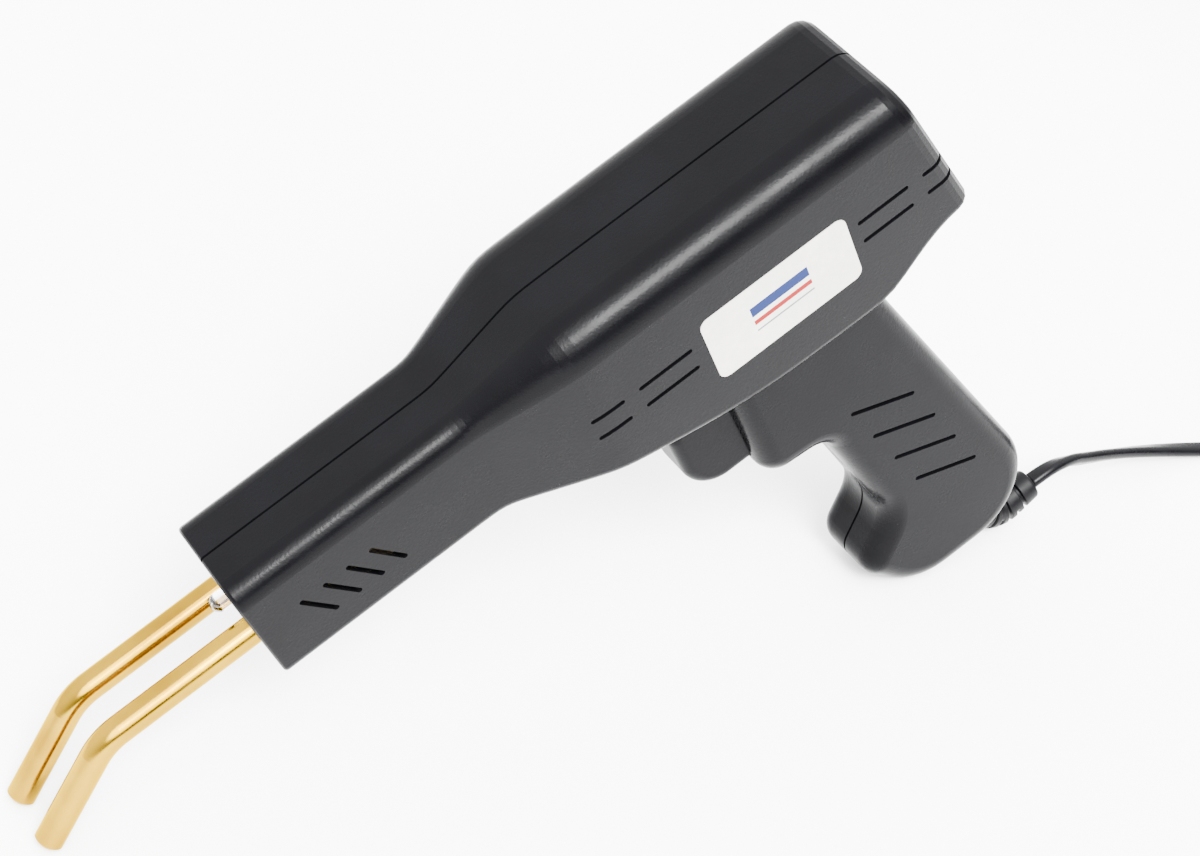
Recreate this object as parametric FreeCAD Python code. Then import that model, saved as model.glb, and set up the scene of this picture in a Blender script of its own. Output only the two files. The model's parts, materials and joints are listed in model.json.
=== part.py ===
"""Hand-held hot stapler (a spot welder for plastic), modelled as separate pieces.

Everything is first modelled in the tool's own axes: X runs back from the nose's front face,
Y to the tool's right, Z up from the nose's top. place_tool() then pitches the whole tool
nose-down until it stands on its two electrode tips and the heel of its grip.
Units are millimetres.
"""
import FreeCAD
import Part
import math
import os
from FreeCAD import Vector

# ---- stance ----
PITCH = 30.5                # nose-down tilt when the tool stands by itself, degrees

# ---- screws ----
SCREW_R = 1.25              # shell screws' shank, in the left half's posts
SCREW_CLEAR_R = 1.6         # their clearance hole in the right half
HEAD_R = 2.8
HEAD_CLEAR_R = 3.1
SMALL_SCREW_R = 1.0         # switch and cord clamp screws
SET_SCREW_R = 1.5

# ---- shell ----
WALL = 2.4
SEAM_WIDTH = 0.7            # decorative groove along the parting line
SEAM_DEPTH = 0.8
DRAFT = 5.0                 # the side walls lean in towards the bottom, degrees
NOSE_HALF_WIDTH = 17.8
NOSE_BOTTOM = -40.5
BODY_HALF_WIDTH = 26.6
BODY_TOP = 8.9
BODY_BOTTOM = -60.6
TAPER_START = 73.0
TAPER_END = 103.0
BELLY_START = 71.0
BELLY_END = 145.0
TAIL_RISE_START = 190.0
TAIL_RISE_END = 204.0
TAIL_BOTTOM = -46.0
TAIL_X = 214.2              # rear wall at the height of the nose's top
TAIL_SLANT = 0.19           # how far the rear wall leans back per millimetre down
TAIL_ROUND = 5.0
NOSE_SHOULDER = 6.5
BODY_SHOULDER = 11.0
LOWER_EDGE = 3.6
NOSE_ROUND = 1.2

SLOT_HALF = 0.75
POST_R = 3.4
SWITCH_POST_R = 3.0
CLAMP_LEDGE_X = (188.5, 207.5)
CLAMP_LEDGE_Z = (-171.0, -165.0)
SHELL_SCREWS = [(30.0, -33.6), (108.0, -5.0), (106.0, -43.0), (196.0, -2.0), (186.0, -52.5), (195.5, -128.5),
                (176.0, -177.5)]
LABEL_X = (137.5, 185.5)
LABEL_Z = (-42.0, -15.5)
LABEL_CORNER = 3.1
LABEL_SINK = 0.3
LABEL_PROUD = 0.15

# ---- grip ----
GRIP_HALF_WIDTH = 14.0
GRIP_EDGE = 6.6
CHIN_X = 139.0
CHIN_Z = -102.0
HEEL_Z = -188.7
HEEL_R = 22.0               # round under the front of the heel, which the tool stands on
HEEL_ROUND = (178.1, -166.7)
BACK_R = 24.0               # round at the back of the heel
BACK_ROUND = (189.8, -164.7)
BACK_SLOPE = 0.23           # the grip's back leans rearwards per millimetre down
BACK_X = 188.1              # the grip's back at z = -50

# ---- electrodes ----
ROD_R = 4.0
ROD_Y = 9.05                # half the distance between the two rods
ROD_Z = -23.0
ROD_BACK = 46.0             # inner end of a rod
BEND_X = -47.3              # where the two centre lines of a rod cross
BEND_ANGLE = 33.5
BEND_R = 17.0
TIP_CHAMFER = 0.7
STAPLE_HOLE_R = 0.5
STAPLE_HOLE_DEPTH = 8.0
SHANK_X = 12.0              # behind this a rod is turned down to its shank
SHANK_R = 3.0
BUSH_R = 4.9
MOUTH_HALF = 14.15          # half the width of the opening in the nose's front
CLAMP_X = 34.0
BAR_IN = 5.5                # inner side of a transformer bar
BAR_THICK = 3.0
BAR_Z = (-27.0, -19.0)
SET_SCREWS = [(x, side) for side in (-1, 1) for x in (37.5, 42.5, 51.0)]

# ---- light ----
LED_Z = -17.0
LED_DOME_X = -2.6
LED_R = 2.7
LED_FLANGE_R = 3.1

# ---- trigger and switch ----
TRIGGER_TRAVEL = 4.5
TRIGGER_FRONT = 120.0
TRIGGER_TOP = -63.5
TRIGGER_BOTTOM = -94.5
TRIGGER_HALF = 8.0
FLANGE_HALF = 8.9           # the flange that keeps the trigger in its opening
RUN_GAP = 0.35              # clearance between bodies that slide on each other
PIVOT_X = 161.8
PIVOT_Z = -55.0
LEVER_ANGLE = 14.5          # how far the switch lever stands forward when free
LEVER_LENGTH = 24.0
CONTACT_DROP = 22.0         # the trigger's post meets the lever this far below its pivot
SWITCH_X = 163.4
SPRING_Z = -88.5
SPRING_R = 3.2
SPRING_WIRE = 0.35
SPRING_BACK = 167.0
SWITCH_HALF = 5.15
SWITCH_SCREWS = [(171.4, -54.6), (171.4, -75.4)]
TERMINAL_X = (172.6, 177.2)
PIN_R = 0.6
PLUNGER_R = 1.2
PLUNGER_Z = -61.0

# ---- transformer ----
CORE_X = 118.0
CORE_LENGTH = 50.0
CORE_HEIGHT = 48.0
CORE_HALF_STACK = 12.0
CORE_Z = -23.0
LIMB = 8.0
RIB_BOTTOM = -50.5          # the ribs at the core's ends stop above the switch

# ---- cord ----
CORD_R = 2.6
CORD_THICK = 3.4             # the cord is flat where it is wound
BOOT_X = 198.0
BOOT_DROP = 10.5            # how far the boot's rear part runs below the heel
BOOT_BEND = 9.0
BOOT_END = 217.4
BOOT_NECK_R = 6.0
BOOT_TAIL_R = 4.9
BOOT_HEAD_R = 7.2
BOOT_HEAD_Z = (-178.6, -175.4)
CORD_CLAMP_Z = -158.0
CLAMP_SCREWS = [(191.8, -168.0), (204.2, -168.0)]
WIRE_R = 0.9
COIL_TURN_R = 23.4          # middle of the coil's turns
COIL_WIDE = 3               # turns beside each other
COIL_HIGH = 4               # turns on each other

# Where the cord lies once it is clear of the boot, in the standing tool's axes
CORD_POINTS = [
    (186.5, 0.2, 18.2),
    (195.5, 1.2, 17.9),
    (207.0, 3.0, 14.6),
    (222.0, 4.8, 9.2),
    (239.5, 5.2, 4.4),
    (255.5, 2.8, 2.7),
    (265.5, -0.6, 2.6),
    (276.5, -6.4, 2.6),
    (287.5, -14.6, 2.6),
    (297.7, -20.8, 2.6),
]
COIL_X = 312.0
COIL_Y = 4.0
TIE_ANGLE = 100.0
TIE_THICK = 0.8

# Where the cord's end lies between the coil and the plug
TAIL_POINTS = [
    (317.0, -24.2, 11.0),
    (328.8, -22.1, 9.2),
    (340.6, -18.8, 7.3),
    (352.8, -14.3, 6.5),
]

# ---- plug ----
PLUG_TAIL_R = 4.0            # where the cord enters the plug
PLUG_PIN_R = 2.0
PLUG_PIN_LENGTH = 19.0
PIN_SPACING = 18.6

OUT = {}


# ======================= helpers =======================

def vec(x, y, z):
    return Vector(x, y, z)


def corner(before, at, after, radius):
    """Two tangent points and the middle of the arc that rounds the corner at `at`."""
    to_before = (before - at).normalize()
    to_after = (after - at).normalize()
    half = to_before.getAngle(to_after) / 2.0
    reach = radius / math.tan(half)
    middle = (to_before + to_after).normalize()
    start = at + to_before * reach
    end = at + to_after * reach
    top = at + middle * (radius / math.sin(half) - radius)
    return start, top, end


def rounded_edges(points, radii, closed):
    """Lines and tangent arcs through a polygon's or a path's corners."""
    count = len(points)
    edges = []
    last = None
    first = None
    for i in range(count):
        inner = closed or 0 < i < count - 1
        if inner and radii[i] > 0:
            before = points[i - 1]
            after = points[(i + 1) % count]
            start, top, end = corner(before, points[i], after, radii[i])
        else:
            start, top, end = points[i], None, points[i]
        if last is not None and last.distanceToPoint(start) > 1e-6:
            edges.append(Part.LineSegment(last, start).toShape())
        if top is not None:
            edges.append(Part.Arc(start, top, end).toShape())
        if first is None:
            first = start
        last = end
    if closed and last.distanceToPoint(first) > 1e-6:
        edges.append(Part.LineSegment(last, first).toShape())
    return edges


def rounded_wire(points, radii, closed=True):
    return Part.Wire(rounded_edges(points, radii, closed))


def profile(points, radii=None):
    """A closed side outline, from (x, z) pairs."""
    radii = radii or [0] * len(points)
    return rounded_wire([vec(x, 0, z) for x, z in points], radii)


def slab(wire, low, high):
    """A side outline extruded from y = low to y = high."""
    face = Part.Face(wire)
    face.translate(vec(0, low, 0))
    return face.extrude(vec(0, high - low, 0))


def block(x, y, z, edge=0.0, only=None):
    """A box from three (low, high) pairs, with its edges along `only` or all of them rounded."""
    solid = Part.makeBox(x[1] - x[0], y[1] - y[0], z[1] - z[0], vec(x[0], y[0], z[0]))
    if edge <= 0:
        return solid
    edges = [e for e in solid.Edges if only is None or abs(e.tangentAt(0).dot(only)) > 0.9]
    return solid.makeFillet(edge, edges)


def rod(start, end, radius):
    axis = end - start
    return Part.makeCylinder(radius, axis.Length, start, axis)


def tube_along(points, bends, radius):
    """A round tube whose path is straight runs joined by tangent arcs."""
    path = rounded_wire(points, [0] + bends + [0], closed=False)
    heading = points[1] - points[0]
    ring = Part.Wire(Part.makeCircle(radius, points[0], heading))
    pipe = path.makePipeShell([ring], True, False)
    return pipe


def fuse(shapes):
    solid = shapes[0].multiFuse(shapes[1:]) if len(shapes) > 1 else shapes[0]
    return solid


def turned(shape, angle, centre, axis):
    copy = shape.copy()
    copy.rotate(centre, axis, angle)
    return copy


def keep(node, shape):
    OUT[node] = shape


# ======================= shell outline =======================

def soft_ramp(x, start, soft):
    """0 before start, x - start after it, with the fold between softened."""
    reach = (x - start) / soft
    return soft * (reach if reach > 40 else math.log1p(math.exp(reach)))


def soft_step(x, start, end, soft_start, soft_end):
    """0 before start, 1 after end, straight between, with both folds softened."""
    return (soft_ramp(x, start, soft_start) - soft_ramp(x, end, soft_end)) / (end - start)


def taper(x):
    return soft_step(x, TAPER_START, TAPER_END, 1.6, 2.2)


def top_at(x):
    return BODY_TOP * taper(x)


def half_width_at(x):
    return NOSE_HALF_WIDTH + (BODY_HALF_WIDTH - NOSE_HALF_WIDTH) * taper(x)


def shoulder_at(x):
    return NOSE_SHOULDER + (BODY_SHOULDER - NOSE_SHOULDER) * taper(x)


def bottom_at(x):
    belly = soft_step(x, BELLY_START, BELLY_END, 1.5, 9.0)
    rise = soft_step(x, TAIL_RISE_START, TAIL_RISE_END, 1.5, 4.0)
    return NOSE_BOTTOM + (BODY_BOTTOM - NOSE_BOTTOM) * belly + (TAIL_BOTTOM - BODY_BOTTOM) * rise


def section(x, inset, lean=0.0):
    """The barrel's outline at x: a rounded trapezoid, leaning back by `lean` per millimetre down."""
    top = top_at(x) - inset
    bottom = bottom_at(x) + inset
    slope = math.tan(math.radians(DRAFT))
    wide = half_width_at(x) - inset
    narrow = wide - (top - bottom) * slope
    upper = max(shoulder_at(x) - inset, 1.0)
    lower = max(LOWER_EDGE - inset, 0.8)
    points = [vec(x, -wide, top), vec(x, wide, top), vec(x, narrow, bottom), vec(x, -narrow, bottom)]
    edges = []
    radii = [upper, upper, lower, lower]
    rounds = [corner(points[i - 1], points[i], points[(i + 1) % 4], radii[i]) for i in range(4)]

    def leaned(p):
        return vec(p.x - lean * p.z, p.y, p.z)

    for i in range(4):
        start, middle, end = (leaned(p) for p in rounds[i])
        following = leaned(rounds[(i + 1) % 4][0])
        edges.append(Part.Arc(start, middle, end).toShape())
        edges.append(Part.LineSegment(end, following).toShape())
    return Part.Wire(edges)


def barrel(inset):
    """The nose, taper and body as one loft, drawn in by `inset` on every side."""
    wires = []
    for step in range(4):
        turn = math.radians(30 * step)
        shrink = NOSE_ROUND * (1 - math.sin(turn))
        wires.append(section(inset + NOSE_ROUND * (1 - math.cos(turn)), inset + shrink))
    for x in [12, 40, 64, 68, 70, 72, 74, 76, 79, 84, 90, 95, 98, 101, 104, 107, 111, 116, 121]:
        wires.append(section(x, inset))
    for x in [126, 131, 136, 141, 146, 152, 160, 172, 183, 188]:
        wires.append(section(x, inset))
    tail = TAIL_X - inset - TAIL_ROUND
    for step in range(1, 8):
        part = step / 7.0
        wires.append(section(188 + (tail - 188) * part, inset, TAIL_SLANT * part))
    for step in range(1, 5):
        turn = math.radians(22.5 * step)
        x = tail + TAIL_ROUND * math.sin(turn)
        wires.append(section(x, inset + TAIL_ROUND * (1 - math.cos(turn)), TAIL_SLANT))
    return Part.makeLoft(wires, True, True)


def grip_back(z):
    return BACK_X + BACK_SLOPE * (-50.0 - z)


def grip_outline():
    """Side outline of the grip with its chin in front, and the radius at each corner."""
    points = [
        (CHIN_X, -50.0),
        (CHIN_X, CHIN_Z),
        (159.5, CHIN_Z - 2.0),
        (168.0, -151.5),
        (152.0, -166.5),
        (166.0, HEEL_Z),
        (grip_back(HEEL_Z), HEEL_Z),
        (BACK_X, -50.0),
    ]
    radii = [0, 8.0, 7.5, 14.0, 7.5, HEEL_R, BACK_R, 0]
    return points, radii


def grip(inset):
    points, radii = grip_outline()
    wire = profile(points, radii)
    half = GRIP_HALF_WIDTH - inset
    if inset > 0:
        face = Part.Face(wire).makeOffset2D(-inset)
        wire = face.OuterWire
    solid = slab(wire, -half, half)
    edge = GRIP_EDGE - inset
    sides = [f for f in solid.Faces if abs(f.normalAt(0, 0).y) > 0.99]
    rims = [e for f in sides for e in f.Edges if e.BoundBox.ZMin < -52]
    return solid.makeFillet(edge, rims)


# ======================= shell =======================

def slot(x0, z0, x1, z1, side):
    """A round-ended vent slot through one side wall."""
    along = vec(x1 - x0, 0, z1 - z0)
    across = vec(-along.z, 0, along.x).normalize() * SLOT_HALF
    a = vec(x0, 0, z0)
    b = vec(x1, 0, z1)
    body = Part.Face(Part.makePolygon([a + across, b + across, b - across, a - across, a + across]))
    depth = vec(0, side * 40.0, 0)
    ends = [Part.makeCylinder(SLOT_HALF, 40.0, p, depth) for p in (a, b)]
    cutter = fuse([body.extrude(depth)] + ends)
    cutter.translate(vec(0, side * 8.0, 0))
    return cutter


def vent_slots(side):
    cuts = []
    for i in range(4):
        x = 14.2 + 7.35 * i
        cuts.append(slot(x, -18.3, x + 6.4, -29.1, side))
    for z in (-22.6, -30.4):
        for x0, x1 in ((101.7, 110.7), (116.9, 132.8), (189.2, 204.6), (210.8, 232.0)):
            cuts.append(slot(x0, z, x1, z, side))
    for i in range(4):
        x = 169.4 + 3.4 * i
        z = -98.6 - 14.4 * i
        cuts.append(slot(x, z, x + 18.6, z - 8.9, side))
    return cuts


def side_wall_y(x, z):
    """Distance of the outer side wall from the middle plane."""
    if z < BODY_BOTTOM:
        return GRIP_HALF_WIDTH
    return half_width_at(x) - (top_at(x) - z) * math.tan(math.radians(DRAFT))


def posts(places, radius, low, high):
    """Round posts along Y at (x, z) places."""
    return [Part.makeCylinder(radius, high - low, vec(x, low, z), vec(0, 1, 0)) for x, z in places]


def inner_ribs():
    """Ribs in both halves that hold the transformer and the trigger's spring."""
    ribs = []
    for x in (CORE_X - 3.2, CORE_X + CORE_LENGTH + 1.0):
        frame = block((x, x + 2.2), (-40, 40), (RIB_BOTTOM, 10))
        window = block((x - 1, x + 3.2), (-10, 10), (-45, -1))
        passage = block((x - 1, x + 3.2), (-21.5, 21.5), (-29, -7))
        ribs.append(frame.cut(window).cut(passage))
    ribs.append(block((SPRING_BACK, SPRING_BACK + 2.4), (-20, 20), (-95.0, -82.5)))
    return fuse(ribs)


def label_sheet(out, depth, gap):
    """A rounded sheet on the left side wall, from `out` outside it to `depth` inside it."""
    x0, x1 = LABEL_X
    z0, z1 = LABEL_Z
    wall = side_wall_y(x0, z1)
    sheet = block((x0 + gap, x1 - gap), (-wall - out, -wall + depth), (z0 + gap, z1 - gap),
                  LABEL_CORNER - gap, vec(0, 1, 0))
    return turned(sheet, DRAFT, vec(0, -wall, z1), vec(1, 0, 0))


def shell_half(side, outer, hollow, inner):
    """One half of the shell: -1 is the left one, +1 the right one with the screw heads."""
    room = block((-20, 260), (0, 60) if side > 0 else (-60, 0), (-220, 40))
    near, far = (0, 40) if side > 0 else (-40, 0)
    fittings = [inner_ribs()] + posts(SHELL_SCREWS, POST_R, near, far)
    if side < 0:
        fittings += posts(SWITCH_SCREWS, SWITCH_POST_R, -30, -SWITCH_HALF)
        fittings.append(block(CLAMP_LEDGE_X, (-20, -CORD_R), CLAMP_LEDGE_Z))
    half = hollow.common(room).fuse(fuse(fittings).common(inner).common(room))

    seam = block((-20, 260), (-SEAM_WIDTH / 2, SEAM_WIDTH / 2), (-220, 40)).common(outer)
    seam = seam.cut(barrel(SEAM_DEPTH)).cut(grip(SEAM_DEPTH))
    mouth = block((-5, 3), (-MOUTH_HALF, MOUTH_HALF), (-29.5, -10.5), 4.4, vec(1, 0, 0))
    seat = barrel(1.0).common(block((2.5, 10.5), (-30, 30), (-60, 20)))
    trigger_mouth = block((CHIN_X - 3, CHIN_X + WALL + 1),
                          (-TRIGGER_HALF - RUN_GAP, TRIGGER_HALF + RUN_GAP),
                          (TRIGGER_BOTTOM - RUN_GAP, TRIGGER_TOP + RUN_GAP), 3.4, vec(1, 0, 0))
    boot_hole = Part.makeCylinder(BOOT_NECK_R, 14.0, vec(BOOT_X, 0, HEEL_Z - 4), vec(0, 0, 1))
    cuts = [seam, mouth, seat, trigger_mouth, boot_hole] + vent_slots(side)
    if side > 0:
        cuts += posts(SHELL_SCREWS, SCREW_CLEAR_R, -1, 60)
        cuts += [screw_head(x, z, HEAD_CLEAR_R, 20.0) for x, z in SHELL_SCREWS]
    else:
        cuts += posts(SHELL_SCREWS, SCREW_R, -9.0, 1)
        cuts += posts(SWITCH_SCREWS, SMALL_SCREW_R, -10.5, 0)
        cuts += posts(CLAMP_SCREWS, SMALL_SCREW_R, -9.0, 0)
        cuts.append(label_sheet(5.0, LABEL_SINK, 0.0))
    return half.cut(cuts)


def screw_head(x, z, radius, height):
    """A screw head's room, sunk below the right side wall."""
    seat = side_wall_y(x, z) - 3.6
    return Part.makeCylinder(radius, height, vec(x, seat, z), vec(0, 1, 0))


def shell_screw(x, z):
    head = screw_head(x, z, HEAD_R, 2.0)
    top = side_wall_y(x, z) - 1.6
    shank = Part.makeCylinder(SCREW_R, top - 1 + 8.0, vec(x, -8.0, z), vec(0, 1, 0))
    screw = fuse([shank, head])
    cross = [block((x - a, x + a), (top - 1.1, top + 1), (z - b, z + b)) for a, b in ((1.7, 0.3), (0.3, 1.7))]
    return screw.cut(cross)


def make_shell():
    outer = barrel(0.0).fuse(grip(0.0))
    inner = barrel(WALL).fuse(grip(WALL))
    hollow = outer.cut(inner)
    keep("left_shell", shell_half(-1, outer, hollow, inner))
    keep("right_shell", shell_half(1, outer, hollow, inner))
    keep("shell_screws", Part.makeCompound([shell_screw(x, z) for x, z in SHELL_SCREWS]))
    keep("side_label", label_sheet(LABEL_PROUD, LABEL_SINK, 0.15))


# ======================= nose =======================

def tip_length():
    """Length of a rod from its bend to its end, so that it stands level with the heel."""
    pitch = math.radians(PITCH)
    steep = math.radians(PITCH + BEND_ANGLE)
    bend_height = BEND_X * math.sin(pitch) + ROD_Z * math.cos(pitch)
    edge = (ROD_R - TIP_CHAMFER) * math.cos(steep)
    return (bend_height - edge - ground_height()) / math.sin(steep)


def ground_height():
    """Height of the standing surface in the pitched axes, just under the heel's round."""
    x, z = HEEL_ROUND
    pitch = math.radians(PITCH)
    return x * math.sin(pitch) + z * math.cos(pitch) - HEEL_R


def tip_direction():
    bend = math.radians(BEND_ANGLE)
    return vec(-math.cos(bend), 0, -math.sin(bend))


def electrode(side):
    y = side * ROD_Y
    bend = vec(BEND_X, y, ROD_Z)
    end = bend + tip_direction() * tip_length()
    path = [vec(SHANK_X, y, ROD_Z), bend, end]
    body = tube_along(path, [BEND_R], ROD_R)
    rim = [e for e in body.Edges if (e.CenterOfMass - end).Length < 0.5]
    body = body.makeChamfer(TIP_CHAMFER, rim)
    shank = rod(vec(SHANK_X, y, ROD_Z), vec(ROD_BACK, y, ROD_Z), SHANK_R)
    hole = rod(end + tip_direction(), end - tip_direction() * STAPLE_HOLE_DEPTH, STAPLE_HOLE_R)
    return fuse([body, shank]).cut(hole)


def bush(side):
    y = side * ROD_Y
    outer = rod(vec(1.2, y, ROD_Z), vec(9.6, y, ROD_Z), BUSH_R)
    return outer.cut(rod(vec(0, y, ROD_Z), vec(11, y, ROD_Z), ROD_R))


def front_insulator():
    plate = barrel(1.05).common(block((2.6, 10.4), (-30, 30), (-60, 20)))
    holes = [rod(vec(0, s * ROD_Y, ROD_Z), vec(12, s * ROD_Y, ROD_Z), BUSH_R) for s in (-1, 1)]
    holes.append(rod(vec(0, 0, LED_Z), vec(4.6, 0, LED_Z), LED_R))
    holes.append(rod(vec(4.6, 0, LED_Z), vec(12, 0, LED_Z), LED_FLANGE_R))
    return plate.cut(holes)


def clamp_block(side):
    """Metal block that holds a rod's shank in front and a transformer bar behind."""
    y0, y1 = sorted((side * 3.0, side * 12.9))
    body = block((CLAMP_X, CLAMP_X + 20), (y0, y1), (-28.2, -13.0), 0.6)
    y = side * ROD_Y
    body = body.cut(rod(vec(CLAMP_X - 1, y, ROD_Z), vec(ROD_BACK, y, ROD_Z), SHANK_R))
    low, high = sorted((side * BAR_IN, side * (BAR_IN + BAR_THICK)))
    body = body.cut(block((ROD_BACK + 2, CLAMP_X + 21), (low, high), BAR_Z))
    for x, screw_side in SET_SCREWS:
        if screw_side == side:
            body = body.cut(Part.makeCylinder(SET_SCREW_R, 12.0, set_screw_foot(x, side) - vec(0, 0, 1.0)))
    return body


def set_screw_foot(x, side):
    """Where a set screw's end presses on the rod's shank or on the bar."""
    if x < ROD_BACK:
        return vec(x, side * ROD_Y, ROD_Z + SHANK_R)
    return vec(x, side * (BAR_IN + BAR_THICK / 2), BAR_Z[1])


def set_screw(x, side):
    """A headless socket screw, down from the clamp block's top."""
    foot = set_screw_foot(x, side)
    screw = Part.makeCylinder(SET_SCREW_R, -12.2 - foot.z, foot)
    return screw.cut(hex_prism(x, foot.y, -13.9, 0.8, 3.0))


def hex_prism(x, y, z, radius, height):
    turns = [math.radians(60 * k) for k in range(7)]
    corners = [vec(x + radius * math.cos(turn), y + radius * math.sin(turn), z) for turn in turns]
    return Part.Face(Part.makePolygon(corners)).extrude(vec(0, 0, height))


def make_nose():
    keep("left_electrode", electrode(-1))
    keep("right_electrode", electrode(1))
    keep("rod_bushes", Part.makeCompound([bush(-1), bush(1)]))
    keep("front_insulator", front_insulator())
    keep("left_clamp_block", clamp_block(-1))
    keep("right_clamp_block", clamp_block(1))
    keep("clamp_set_screws", Part.makeCompound([set_screw(x, s) for x, s in SET_SCREWS]))
    keep("clamp_spacer", block((CLAMP_X + 1, CLAMP_X + 19), (-3.0, 3.0), (-28.2, -13.0)))

    dome = Part.makeSphere(LED_R, vec(LED_DOME_X, 0, LED_Z))
    lens = rod(vec(LED_DOME_X, 0, LED_Z), vec(4.6, 0, LED_Z), LED_R)
    flange = rod(vec(4.6, 0, LED_Z), vec(5.6, 0, LED_Z), LED_FLANGE_R)
    keep("led", fuse([dome, lens, flange]))
    board = block((15.0, 16.4), (-5.6, 5.6), (-21.0, -8.5))
    leads = [rod(vec(5.6, y, LED_Z), vec(17.2, y, LED_Z), 0.3) for y in (-1.27, 1.27)]
    keep("led_board", board.cut(leads))
    keep("led_leads", Part.makeCompound(leads))


# ======================= trigger and switch =======================

def trigger():
    """The sliding trigger: a rounded block, a retaining flange and a post that meets the lever."""
    outline = profile([(TRIGGER_FRONT, TRIGGER_BOTTOM), (TRIGGER_FRONT, TRIGGER_TOP),
                       (CHIN_X + 3, TRIGGER_TOP), (CHIN_X + 3, TRIGGER_BOTTOM)], [11.5, 7.0, 0, 0])
    body = slab(outline, -TRIGGER_HALF, TRIGGER_HALF)
    sides = [f for f in body.Faces if abs(f.normalAt(0, 0).y) > 0.99]
    rims = [e for f in sides for e in f.Edges if e.BoundBox.XMin < CHIN_X + 2.9]
    body = body.makeFillet(3.2, rims)
    flange = block((CHIN_X + WALL + 0.4, CHIN_X + 6),
                   (-FLANGE_HALF, FLANGE_HALF), (-93.5, -60.9), 1.5, vec(1, 0, 0))
    post = block((CHIN_X + 5.5, TRIGGER_FRONT + 35.5), (-3, 3), (-81, -73), 1.0, vec(1, 0, 0))
    spigot = rod(vec(CHIN_X + 5.5, 0, SPRING_Z), vec(CHIN_X + 9.5, 0, SPRING_Z), 2.2)
    return fuse([body, flange, post, spigot])


def spring_coil():
    """The return spring between the trigger's flange and its rib."""
    length = SPRING_BACK - CHIN_X - 6 - 2 * SPRING_WIRE
    turns = 8
    helix = Part.makeHelix(length / turns, length, SPRING_R)
    start = vec(SPRING_R, 0, 0)
    ring = Part.Wire(Part.makeCircle(SPRING_WIRE, start, vec(0, 1, 0)))
    coil = Part.Wire(helix.Edges).makePipeShell([ring], True, True)
    coil.rotate(vec(0, 0, 0), vec(0, 1, 0), 90)
    coil.translate(vec(CHIN_X + 6 + SPRING_WIRE, 0, SPRING_Z))
    return coil


def lever_point(drop):
    """A point of the free lever, `drop` below its pivot."""
    return vec(PIVOT_X - drop * math.tan(math.radians(LEVER_ANGLE)), 0, PIVOT_Z - drop)


def switch_lever():
    knuckle = Part.makeCylinder(1.2, 4.4, vec(PIVOT_X, -2.2, PIVOT_Z), vec(0, 1, 0))
    arm = block((-0.25, 0.25), (-2.2, 2.2), (-LEVER_LENGTH, 0))
    arm.translate(vec(PIVOT_X, 0, PIVOT_Z))
    arm = turned(arm, LEVER_ANGLE, vec(PIVOT_X, 0, PIVOT_Z), vec(0, 1, 0))
    bore = Part.makeCylinder(PIN_R + 0.05, 6, vec(PIVOT_X, -3, PIVOT_Z), vec(0, 1, 0))
    return fuse([knuckle, arm]).cut(bore)


def switch_body():
    body = block((SWITCH_X, SWITCH_X + 15.9), (-SWITCH_HALF, SWITCH_HALF), (-79.0, -51.2), 0.6)
    ears = [block((PIVOT_X - 1.4, SWITCH_X + 0.8), sorted((s * 2.5, s * 3.7)), (-56.6, -53.4))
            for s in (-1, 1)]
    pin_bore = Part.makeCylinder(PIN_R, 8, vec(PIVOT_X, -4, PIVOT_Z), vec(0, 1, 0))
    plunger_bore = rod(vec(SWITCH_X - 1, 0, PLUNGER_Z), vec(SWITCH_X + 6, 0, PLUNGER_Z), PLUNGER_R + 0.05)
    blades = [terminal(x) for x in TERMINAL_X]
    return fuse([body] + ears).cut([pin_bore, plunger_bore] + posts(SWITCH_SCREWS, 1.2, -6, 6) + blades)


def terminal(x):
    return block((x - 0.4, x + 0.4), (-2.4, 2.4), (-85.3, -76.0))


def crimp(x):
    sleeve = block((x - 1.5, x + 1.5), (-3.2, 3.2), (-88.0, -81.5), 0.8, vec(0, 0, 1))
    return sleeve.cut(terminal(x))


def side_screw(x, z, low, seat, top, shank_r, head_r):
    """A pan head screw along Y: shank from `low` to `seat`, head from `seat` to `top`."""
    shank = Part.makeCylinder(shank_r, seat - low, vec(x, low, z), vec(0, 1, 0))
    head = Part.makeCylinder(head_r, top - seat, vec(x, seat, z), vec(0, 1, 0))
    cut = block((x - head_r, x + head_r), (top - 0.7, top + 1), (z - 0.3, z + 0.3))
    return fuse([shank, head]).cut(cut)


def make_trigger_group():
    keep("trigger", trigger())
    keep("trigger_spring", spring_coil())
    keep("switch_body", switch_body())
    keep("switch_lever", switch_lever())
    keep("lever_pin", Part.makeCylinder(PIN_R, 7.4, vec(PIVOT_X, -3.7, PIVOT_Z), vec(0, 1, 0)))
    tip = lever_point(PIVOT_Z - PLUNGER_Z).x + 0.55
    plunger = rod(vec(tip, 0, PLUNGER_Z), vec(SWITCH_X + 4, 0, PLUNGER_Z), PLUNGER_R)
    rim = [e for e in plunger.Edges if e.BoundBox.XMax < tip + 0.1]
    keep("switch_plunger", plunger.makeFillet(0.5, rim))
    keep("switch_terminals", Part.makeCompound([terminal(x) for x in TERMINAL_X]))
    keep("crimp_connectors", Part.makeCompound([crimp(x) for x in TERMINAL_X]))
    screws = [side_screw(x, z, -10.0, SWITCH_HALF, SWITCH_HALF + 1.6, 1.0, 2.0) for x, z in SWITCH_SCREWS]
    keep("switch_screws", Part.makeCompound(screws))


# ======================= transformer =======================

def core_box(x, z, half_y=None):
    half = half_y or CORE_HALF_STACK
    return block((CORE_X + x[0], CORE_X + x[1]), (-half, half), (CORE_Z + z[0], CORE_Z + z[1]))


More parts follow.
